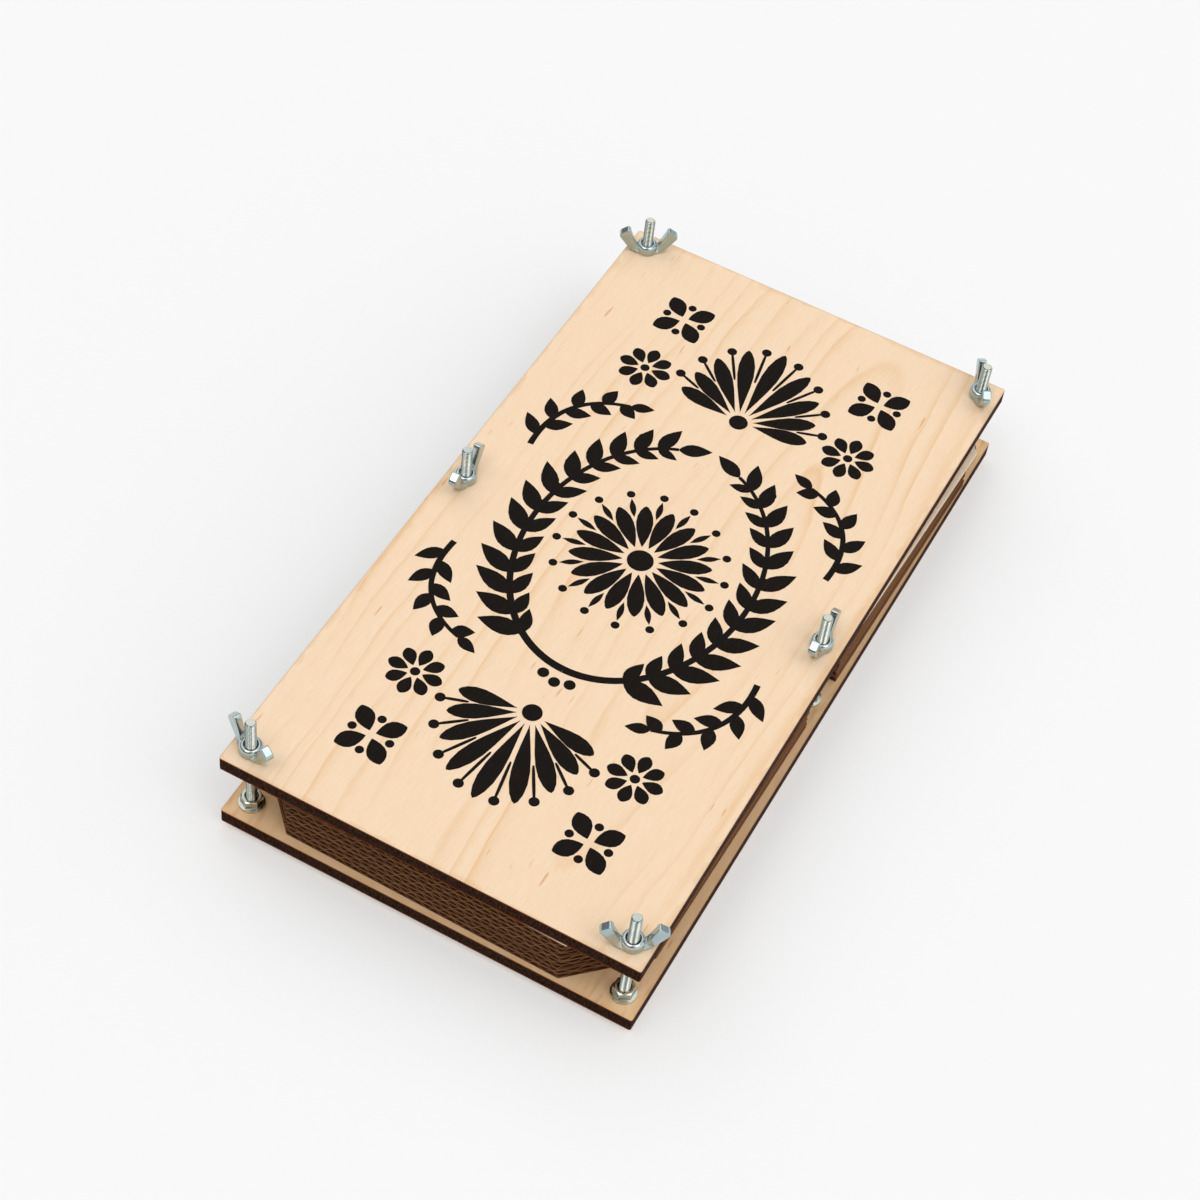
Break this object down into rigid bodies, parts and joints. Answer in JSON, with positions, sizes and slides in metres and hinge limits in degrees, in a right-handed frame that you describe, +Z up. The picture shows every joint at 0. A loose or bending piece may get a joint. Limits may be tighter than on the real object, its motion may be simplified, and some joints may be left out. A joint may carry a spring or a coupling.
{
  "type": "flower press",
  "caption": "Flower press: plywood boards on fixed bolts, with wing nuts that clamp a stack of corrugated cardboards and blotting papers between them.",
  "frame": {"origin": "on the table under the middle of the press, level with the undersides of the bolt heads it stands on", "axes": "+Z up along the bolts, +Y along the boards' long edges, +X across them"},
  "size_m": [0.1673, 0.3067, 0.0553],
  "materials": {
    "plywood": "matte",
    "zinc_steel": "satin",
    "corrugated_cardboard": "matte",
    "blotting_paper": "matte",
    "black_ink": "matte"
  },
  "bodies": {
    "base": {"bottom_board": "plywood", "bolt_front_left": "zinc_steel", "bolt_front_right": "zinc_steel", "bolt_mid_left": "zinc_steel", "bolt_mid_right": "zinc_steel", "bolt_back_left": "zinc_steel", "bolt_back_right": "zinc_steel", "flange_nut_front_left": "zinc_steel", "flange_nut_front_right": "zinc_steel", "flange_nut_mid_left": "zinc_steel", "flange_nut_mid_right": "zinc_steel", "flange_nut_back_left": "zinc_steel", "flange_nut_back_right": "zinc_steel"},
    "top_board": {"top_board": "plywood"},
    "wing_nut_front_left": {"wing_nut_front_left": "zinc_steel"},
    "wing_nut_front_right": {"wing_nut_front_right": "zinc_steel"},
    "wing_nut_mid_left": {"wing_nut_mid_left": "zinc_steel"},
    "wing_nut_mid_right": {"wing_nut_mid_right": "zinc_steel"},
    "wing_nut_back_left": {"wing_nut_back_left": "zinc_steel"},
    "wing_nut_back_right": {"wing_nut_back_right": "zinc_steel"},
    "cardboard_1": {"cardboard_1": "corrugated_cardboard"},
    "cardboard_2": {"cardboard_2": "corrugated_cardboard"},
    "cardboard_3": {"cardboard_3": "corrugated_cardboard"},
    "cardboard_4": {"cardboard_4": "corrugated_cardboard"},
    "cardboard_5": {"cardboard_5": "corrugated_cardboard"},
    "cardboard_6": {"cardboard_6": "corrugated_cardboard"},
    "cardboard_7": {"cardboard_7": "corrugated_cardboard"},
    "cardboard_8": {"cardboard_8": "corrugated_cardboard"},
    "blotting_paper_1": {"blotting_paper_1": "blotting_paper"},
    "blotting_paper_2": {"blotting_paper_2": "blotting_paper"},
    "blotting_paper_3": {"blotting_paper_3": "blotting_paper"},
    "cardboard_9": {"cardboard_9": "corrugated_cardboard"}
  },
  "joints": [
    {"name": "top_board_lift", "type": "slide", "parent": "base", "child": "top_board", "axis": [0, 0, 1], "range_m": [0, 0.0105]},
    {"name": "wing_nut_front_left_turn", "type": "hinge", "parent": "top_board", "child": "wing_nut_front_left", "pos_m": [-0.0725, -0.1438, 0.0394], "axis": [0, 0, 1], "range_deg": [0, 5400.01]},
    {"name": "wing_nut_front_right_turn", "type": "hinge", "parent": "top_board", "child": "wing_nut_front_right", "pos_m": [0.0725, -0.1438, 0.0394], "axis": [0, 0, 1], "range_deg": [0, 5400.01]},
    {"name": "wing_nut_mid_left_turn", "type": "hinge", "parent": "top_board", "child": "wing_nut_mid_left", "pos_m": [-0.0725, 0, 0.0394], "axis": [0, 0, 1], "range_deg": [0, 5400.01]},
    {"name": "wing_nut_mid_right_turn", "type": "hinge", "parent": "top_board", "child": "wing_nut_mid_right", "pos_m": [0.0725, 0, 0.0394], "axis": [0, 0, 1], "range_deg": [0, 5400.01]},
    {"name": "wing_nut_back_left_turn", "type": "hinge", "parent": "top_board", "child": "wing_nut_back_left", "pos_m": [-0.0725, 0.1438, 0.0394], "axis": [0, 0, 1], "range_deg": [0, 5400.01]},
    {"name": "wing_nut_back_right_turn", "type": "hinge", "parent": "top_board", "child": "wing_nut_back_right", "pos_m": [0.0725, 0.1438, 0.0394], "axis": [0, 0, 1], "range_deg": [0, 5400.01]},
    {"name": "cardboard_1_lift", "type": "slide", "parent": "base", "child": "cardboard_1", "axis": [0, 0, 1], "range_m": [0, 0.00080869]},
    {"name": "cardboard_2_lift", "type": "slide", "parent": "base", "child": "cardboard_2", "axis": [0, 0, 1], "range_m": [0, 0.00162]},
    {"name": "cardboard_3_lift", "type": "slide", "parent": "base", "child": "cardboard_3", "axis": [0, 0, 1], "range_m": [0, 0.00242]},
    {"name": "cardboard_4_lift", "type": "slide", "parent": "base", "child": "cardboard_4", "axis": [0, 0, 1], "range_m": [0, 0.00323]},
    {"name": "cardboard_5_lift", "type": "slide", "parent": "base", "child": "cardboard_5", "axis": [0, 0, 1], "range_m": [0, 0.00404]},
    {"name": "cardboard_6_lift", "type": "slide", "parent": "base", "child": "cardboard_6", "axis": [0, 0, 1], "range_m": [0, 0.00485]},
    {"name": "cardboard_7_lift", "type": "slide", "parent": "base", "child": "cardboard_7", "axis": [0, 0, 1], "range_m": [0, 0.00565]},
    {"name": "cardboard_8_lift", "type": "slide", "parent": "base", "child": "cardboard_8", "axis": [0, 0, 1], "range_m": [0, 0.00646]},
    {"name": "blotting_paper_1_lift", "type": "slide", "parent": "base", "child": "blotting_paper_1", "axis": [0, 0, 1], "range_m": [0, 0.00727]},
    {"name": "blotting_paper_2_lift", "type": "slide", "parent": "base", "child": "blotting_paper_2", "axis": [0, 0, 1], "range_m": [0, 0.00808]},
    {"name": "blotting_paper_3_lift", "type": "slide", "parent": "base", "child": "blotting_paper_3", "axis": [0, 0, 1], "range_m": [0, 0.00889]},
    {"name": "cardboard_9_lift", "type": "slide", "parent": "base", "child": "cardboard_9", "axis": [0, 0, 1], "range_m": [0, 0.00969]}
  ],
  "couplings": [
    {"joint": "wing_nut_front_left_turn", "follows": "top_board_lift", "rad_per_m": 8976},
    {"joint": "wing_nut_front_right_turn", "follows": "top_board_lift", "rad_per_m": 8976},
    {"joint": "wing_nut_mid_left_turn", "follows": "top_board_lift", "rad_per_m": 8976},
    {"joint": "wing_nut_mid_right_turn", "follows": "top_board_lift", "rad_per_m": 8976},
    {"joint": "wing_nut_back_left_turn", "follows": "top_board_lift", "rad_per_m": 8976},
    {"joint": "wing_nut_back_right_turn", "follows": "top_board_lift", "rad_per_m": 8976},
    {"joint": "cardboard_1_lift", "follows": "top_board_lift", "ratio": 0.076923},
    {"joint": "cardboard_2_lift", "follows": "top_board_lift", "ratio": 0.15385},
    {"joint": "cardboard_3_lift", "follows": "top_board_lift", "ratio": 0.23077},
    {"joint": "cardboard_4_lift", "follows": "top_board_lift", "ratio": 0.30769},
    {"joint": "cardboard_5_lift", "follows": "top_board_lift", "ratio": 0.38462},
    {"joint": "cardboard_6_lift", "follows": "top_board_lift", "ratio": 0.46154},
    {"joint": "cardboard_7_lift", "follows": "top_board_lift", "ratio": 0.53846},
    {"joint": "cardboard_8_lift", "follows": "top_board_lift", "ratio": 0.61538},
    {"joint": "blotting_paper_1_lift", "follows": "top_board_lift", "ratio": 0.69231},
    {"joint": "blotting_paper_2_lift", "follows": "top_board_lift", "ratio": 0.76923},
    {"joint": "blotting_paper_3_lift", "follows": "top_board_lift", "ratio": 0.84615},
    {"joint": "cardboard_9_lift", "follows": "top_board_lift", "ratio": 0.92308}
  ]
}
